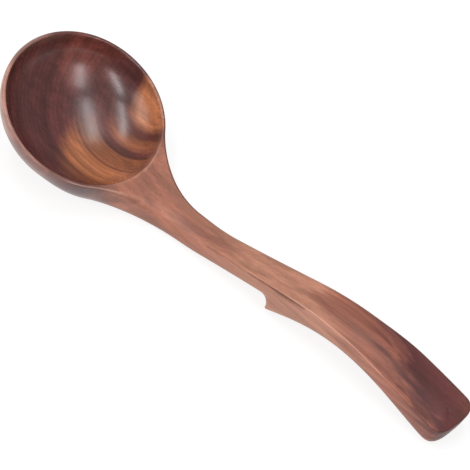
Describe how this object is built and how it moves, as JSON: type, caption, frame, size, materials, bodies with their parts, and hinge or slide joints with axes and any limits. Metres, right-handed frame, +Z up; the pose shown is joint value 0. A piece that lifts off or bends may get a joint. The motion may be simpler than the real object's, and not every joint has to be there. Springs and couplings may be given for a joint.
{
  "type": "wooden soup spoon",
  "caption": "Carved wooden soup spoon with a round bowl, a curved handle that widens to its end, and a hook under the handle that catches on a pot rim.",
  "frame": {"origin": "middle of the small sanded flat under the heel of the bowl, on the table the spoon lies on", "axes": "+Z up from the table, +X along the handle from the bowl to its end"},
  "size_m": [0.2455, 0.0736, 0.0391],
  "materials": {
    "oiled_wood": "satin"
  },
  "bodies": {
    "root": {"carved_spoon": "oiled_wood"}
  },
  "joints": []
}
